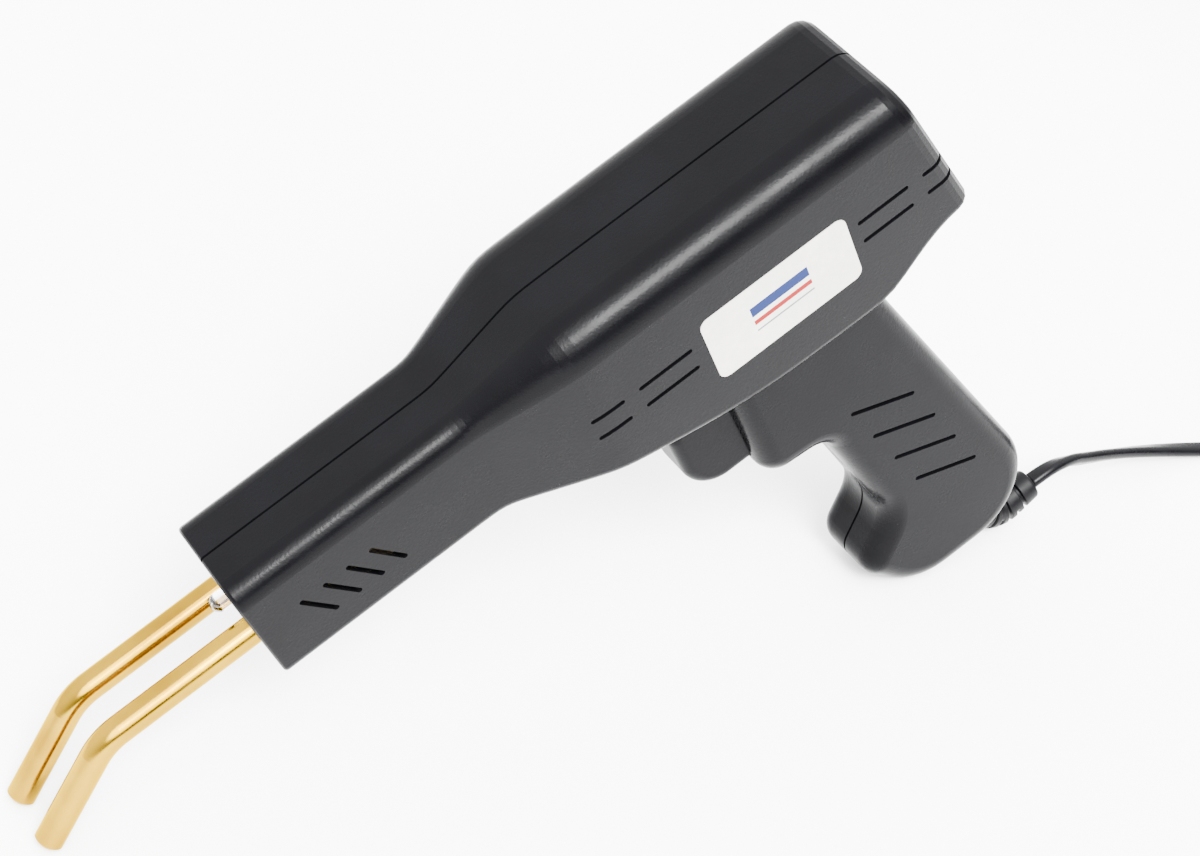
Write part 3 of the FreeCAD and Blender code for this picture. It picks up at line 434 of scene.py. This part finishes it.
def label_film():
    """Off-white film with a faint pale weave, and plain generic bars where a label has its print."""
    shader = Shader("label_film", LABEL_PAPER, 0.38)
    spots = shader.node("ShaderNodeTexVoronoi")
    spots.inputs["Scale"].default_value = 420.0
    shader.link(shader.coords, spots.inputs["Vector"])
    tone = shader.noise(60.0, 3.0)
    weave = shader.node("ShaderNodeMath", operation="MULTIPLY_ADD")
    shader.link(spots.outputs["Distance"], weave.inputs[0])
    weave.inputs[1].default_value = 0.35
    shader.link(tone, weave.inputs[2])
    color = shader.ramp(weave.outputs[0], [(0.4, LABEL_PAPER), (0.8, LABEL_PAPER_DIM)])
    along, up = shader.label_axes()
    for ink, (middle, half_long), (level, half_high) in LABEL_BARS:
        printed = shader.product(shader.band(along, middle, half_long), shader.band(up, level, half_high))
        color = shader.mixed(printed, color, ink)
    shader.set("Base Color", color)
    shader.base.inputs["Specular IOR Level"].default_value = 0.05
    shader.bump(shader.noise(900.0), 0.08, 0.00003)
    return shader.material


def rubbery(name, dark, light, rough):
    shader = Shader(name, dark, rough)
    shader.set("Base Color", shader.ramp(shader.noise(120.0, 3.0), [(0.3, dark), (0.7, light)]))
    shader.set("Roughness", shader.spread(shader.noise(260.0, 4.0), rough - 0.06, rough + 0.08))
    shader.base.inputs["Specular IOR Level"].default_value = 0.07
    shader.bump(shader.noise(1500.0, 2.0), 0.12, 0.00005)
    return shader.material


def make_materials():
    black = ((0.0012, 0.0012, 0.0015), (0.0016, 0.0016, 0.0020))
    looks = {
        "shell": moulded_plastic("shell_plastic", *black, 0.25),
        "trigger": moulded_plastic("trigger_plastic", *black, 0.34),
        "rod_brass": polished_brass("rod_brass", (0.30, 0.178, 0.008), (0.17, 0.088, 0.003), 0.13,
                                    (0, PITCH, 0)),
        "brass": metal("block_brass", (0.20, 0.14, 0.05), 0.5),
        "plug_brass": metal("pin_plating", (0.80, 0.72, 0.55), 0.25),
        "screw": metal("blackened_steel", (0.035, 0.035, 0.038), 0.45),
        "lead": metal("tinned_wire", (0.72, 0.72, 0.73), 0.3),
        "crimp": metal("tinned_sleeve", (0.68, 0.66, 0.62), 0.35),
        "spring": metal("spring_steel", (0.50, 0.50, 0.52), 0.3),
        "band": metal("plated_strip", (0.62, 0.62, 0.60), 0.35),
        "copper": metal("bare_copper", (0.85, 0.42, 0.24), 0.3),
        "core": laminations(),
        # the first colour is painted shade between the wire's turns
        "enamel": wound_wire("enamelled_wire", (0.18, 0.05, 0.02), (0.62, 0.22, 0.09)),
        "lens": clear_resin(),
        "label": label_film(),
        "rubber": rubbery("boot_rubber", (0.0012, 0.0012, 0.0015), (0.0018, 0.0018, 0.0022), 0.4),
        "cord": rubbery("cord_sheath", (0.0012, 0.0012, 0.0016), (0.0018, 0.0018, 0.0023), 0.27),
        "tie": rubbery("tie_plastic", (0.02, 0.02, 0.021), (0.03, 0.03, 0.031), 0.45),
        "plug": moulded_plastic("plug_plastic", (0.014, 0.014, 0.015), (0.02, 0.02, 0.021), 0.4),
        "ceramic": moulded_plastic("bush_ceramic", (0.70, 0.67, 0.60), (0.78, 0.75, 0.68), 0.6),
        "fibre": moulded_plastic("fibre_board", (0.05, 0.04, 0.035), (0.08, 0.065, 0.05), 0.6),
        "board": moulded_plastic("circuit_board", (0.03, 0.14, 0.06), (0.04, 0.18, 0.08), 0.4),
        "switch": moulded_plastic("switch_housing", (0.05, 0.05, 0.055), (0.07, 0.07, 0.075), 0.45),
        "plunger": moulded_plastic("plunger_plastic", (0.55, 0.06, 0.04), (0.62, 0.08, 0.05), 0.4),
        "bobbin": moulded_plastic("bobbin_nylon", (0.76, 0.74, 0.68), (0.82, 0.80, 0.75), 0.5),
        "fuse": moulded_plastic("fuse_sleeve", (0.72, 0.70, 0.62), (0.78, 0.76, 0.70), 0.5),
        "wire_brown": rubbery("wire_brown", (0.14, 0.05, 0.02), (0.18, 0.07, 0.03), 0.4),
        "wire_blue": rubbery("wire_blue", (0.02, 0.08, 0.34), (0.03, 0.11, 0.42), 0.4),
        "wire_black": rubbery("wire_black", (0.02, 0.02, 0.02), (0.03, 0.03, 0.03), 0.4),
        "wire_red": rubbery("wire_red", (0.40, 0.02, 0.02), (0.50, 0.03, 0.03), 0.4),
    }
    return looks


def dress_nodes(looks):
    """Each carried-over CAD node gets its slot's material."""
    for part in frame["record"]["subparts"]:
        node = frame["nodes"][part["node"]]
        node.data.materials.clear()
        node.data.materials.append(looks[part["material_slot"]])


# ======================= cord =======================

def coil_track(number):
    """Radius and height of one turn of the coil, which is wound in, out, in and out again."""
    layer, place = divmod(number, COIL_WIDE)
    outward = (COIL_WIDE - 1) / 2 - place
    radius = COIL_TURN_R + CORD_PITCH * (outward if layer % 2 == 0 else -outward)
    return radius, CORD_THICK / 2 + 0.0001 + layer * CORD_LAYER


def coil_points():
    """The wound cord: whole turns that step over to the next place in one part of the circle."""
    points = []
    first_step = ((STEP_AT - COIL_START) / (2 * math.pi)) % 1.0
    for step in range(int(COIL_TURNS * POINTS_A_TURN) + 1):
        turns = step / POINTS_A_TURN
        since = (turns - first_step) / STEP_SHARE + 0.5
        cycle = 1.0 / STEP_SHARE
        number = max(int(math.floor(since / cycle)) + 1, 0)
        part = min(max(since - (number - 1) * cycle, 0.0), 1.0) if number else 0.0
        ease = part * part * (3 - 2 * part)
        before, after = coil_track(max(number - 1, 0)), coil_track(number)
        radius = before[0] + (after[0] - before[0]) * ease
        height = before[1] + (after[1] - before[1]) * ease
        angle = COIL_START + 2 * math.pi * turns
        x = COIL_CENTRE[0] + radius * math.cos(angle)
        y = COIL_CENTRE[1] + radius * math.sin(angle)
        points.append((x, y, height))
    return points


def cord_curve():
    """The route as one smooth open spline."""
    route = [CORD_EXIT] + CORD_POINTS + coil_points() + TAIL_POINTS
    curve = bpy.data.curves.new("cord_route", "CURVE")
    curve.dimensions = "3D"
    curve.resolution_u = 6
    spline = curve.splines.new("NURBS")
    spline.points.add(len(route) - 1)
    for point, place in zip(spline.points, route):
        point.co = (*place, 1.0)
    spline.order_u = 3
    spline.use_endpoint_u = True
    return curve


def curve_line(curve):
    """The points of a curve without bevel, in order."""
    holder = bpy.data.objects.new("route_reader", curve)
    mesh = bpy.data.meshes.new_from_object(holder)
    line = [v.co.copy() for v in mesh.vertices]
    bpy.data.meshes.remove(mesh)
    bpy.data.objects.remove(holder)
    return line


def flat_section(width, thick, count=24):
    """A flat cord's outline: round sides, flat faces and a shallow valley along the middle of each."""
    outline = []
    flat = (width - thick) / 2
    for k in range(count):
        turn = 2 * math.pi * (k + 0.5) / count
        across = math.cos(turn) * thick / 2 + math.copysign(flat, math.cos(turn))
        up = math.sin(turn) * thick / 2
        valley = 1.0 - 0.05 * math.exp(-(across / (0.16 * width)) ** 2)
        outline.append((across, up * valley))
    return outline


def cord_roll(run):
    """How far the flat cord is turned on its own axis, at a distance from the tool."""
    return CORD_ROLL * smooth(0.0, CORD_TWIST, run) * (1.0 - smooth(CORD_TWIST, CORD_UNROLL, run))


def sweep(name, line, outline, roll):
    """A mesh that carries a section along a line, level but for `roll` at each distance."""
    made = bmesh.new()
    rings = []
    count = len(line)
    run = 0.0
    for i, place in enumerate(line):
        ahead = line[min(i + 1, count - 1)]
        behind = line[max(i - 1, 0)]
        way = (ahead - behind).normalized()
        side = way.cross(Vector((0, 0, 1))).normalized()
        up = side.cross(way).normalized()
        run += (place - behind).length
        turn = roll(run)
        wide = side * math.cos(turn) + up * math.sin(turn)
        thin = up * math.cos(turn) - side * math.sin(turn)
        rings.append([made.verts.new(place + wide * a + thin * b) for a, b in outline])
    skin(made, rings)
    return finish_mesh(name, made)


def skin(made, rings):
    """Faces between rings of vertices, and a cap on each end."""
    for first, second in zip(rings, rings[1:]):
        for k in range(len(first)):
            after = (k + 1) % len(first)
            made.faces.new((first[k], first[after], second[after], second[k]))
    made.faces.new(rings[0][::-1])
    made.faces.new(rings[-1])


def finish_mesh(name, made):
    mesh = bpy.data.meshes.new(name)
    bmesh.ops.recalc_face_normals(made, faces=made.faces)
    made.to_mesh(mesh)
    made.free()
    for face in mesh.polygons:
        face.use_smooth = True
    piece = bpy.data.objects.new(name, mesh)
    bpy.context.collection.objects.link(piece)
    return piece


def make_cord(looks):
    line = curve_line(cord_curve())
    cord = sweep("flat_cord", line, flat_section(CORD_WIDTH, CORD_THICK), cord_roll)
    cord.data.materials.append(looks["cord"])
    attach(cord, "stapler")
    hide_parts("supply_cord", "cord_coil", "cord_tail")
    return cord, line


# ======================= bend relief =======================

def boot_line():
    """Middle line of the boot: down out of the heel, round, and back along the tool's axis."""
    line = [gun_point(BOOT_X, 0, BOOT_TOP), gun_point(BOOT_X, 0, BOOT_BEND_TOP)]
    for step in range(1, BOOT_BEND_STEPS + 1):
        turn = math.radians(90 * step / BOOT_BEND_STEPS)
        x = BOOT_X + BOOT_BEND_R * (1 - math.cos(turn))
        line.append(gun_point(x, 0, BOOT_BEND_TOP - BOOT_BEND_R * math.sin(turn)))
    line.append(gun_point(BOOT_END, 0, BOOT_BEND_TOP - BOOT_BEND_R))
    return line


def resample(line, count):
    """Points evenly spaced along a line."""
    lengths = [0.0]
    for a, b in zip(line, line[1:]):
        lengths.append(lengths[-1] + (b - a).length)
    points = []
    segment = 0
    for k in range(count):
        target = lengths[-1] * k / (count - 1)
        while segment < len(lengths) - 2 and lengths[segment + 1] < target:
            segment += 1
        span = lengths[segment + 1] - lengths[segment]
        points.append(line[segment].lerp(line[segment + 1], (target - lengths[segment]) / span))
    return points


def boot_radius(share, turn):
    """Radius of the boot at a share of its length: slots open on alternate sides, and a plain end."""
    tapered = max(share - BOOT_TAPER_FROM, 0.0) / (1.0 - BOOT_TAPER_FROM)
    body = BOOT_ROOT_R + (BOOT_R - BOOT_ROOT_R) * tapered
    end = max(0.0, (share - 0.965) / 0.035)
    if end > 0:
        return body - 0.0009 * (1.0 - math.sqrt(max(1.0 - end * end, 0.0)))
    along = (share - BOOT_RIBS[0]) / (BOOT_RIBS[1] - BOOT_RIBS[0])
    if not 0 < along < 1:
        return body
    number, place = divmod(along * BOOT_SLOTS, 1.0)
    slot = smooth(0.24, 0.14, abs(place - 0.5))
    side = 1.0 if number % 2 == 0 else -1.0
    web = smooth(-0.80, -0.55, side * math.cos(turn - BOOT_LEAN))
    return body - BOOT_SLOT_DEPTH * slot * web


def smooth(low, high, value):
    """0 at `low`, 1 at `high`, eased between."""
    part = min(max((value - low) / (high - low), 0.0), 1.0)
    return part * part * (3 - 2 * part)


def make_boot(looks):
    """A sleeve with slots across it, like those that let a real bend relief bend."""
    count, around = 240, 56
    line = resample(boot_line(), count)
    rings = []
    made = bmesh.new()
    for i, place in enumerate(line):
        way = (line[min(i + 1, count - 1)] - line[max(i - 1, 0)]).normalized()
        side = Vector((0, 1, 0))
        up = side.cross(way).normalized()
        ring = []
        for k in range(around):
            turn = 2 * math.pi * k / around
            spoke = side * math.cos(turn) + up * math.sin(turn)
            ring.append(made.verts.new(place + boot_radius(i / (count - 1), turn) * spoke))
        rings.append(ring)
    skin(made, rings)
    boot = finish_mesh("ribbed_boot", made)
    boot.data.materials.append(looks["rubber"])
    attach(boot, "stapler")
    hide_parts("strain_relief_boot")
    return boot


# ======================= spring =======================

def make_spring(looks):
    """The trigger's return spring, as one fixed coil."""
    made = bmesh.new()
    rings = []
    steps = SPRING_TURNS * SPRING_STEPS
    span = SPRING_BACK - SPRING_FRONT - 2 * SPRING_WIRE_R
    for i in range(steps + 1):
        share = i / steps
        turn = 2 * math.pi * SPRING_TURNS * share
        middle = Vector((SPRING_FRONT + SPRING_WIRE_R + span * share, SPRING_R * math.cos(turn),
                         SPRING_LEVEL + SPRING_R * math.sin(turn)))
        out = Vector((0, math.cos(turn), math.sin(turn)))
        ring = []
        for k in range(SPRING_SIDES):
            spin = 2 * math.pi * k / SPRING_SIDES
            along = Vector((SPRING_WIRE_R * math.sin(spin), 0, 0))
            place = middle + out * SPRING_WIRE_R * math.cos(spin) + along
            ring.append(made.verts.new(gun_point(*place)))
        rings.append(ring)
    skin(made, rings)
    spring = finish_mesh("return_spring", made)
    spring.data.materials.append(looks["spring"])
    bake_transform(spring)
    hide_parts("trigger_spring")


# ======================= making =======================

place_camera()
looks = make_materials()
cord, cord_line = make_cord(looks)
boot = make_boot(looks)
make_studio()
dress_nodes(looks)
make_spring(looks)
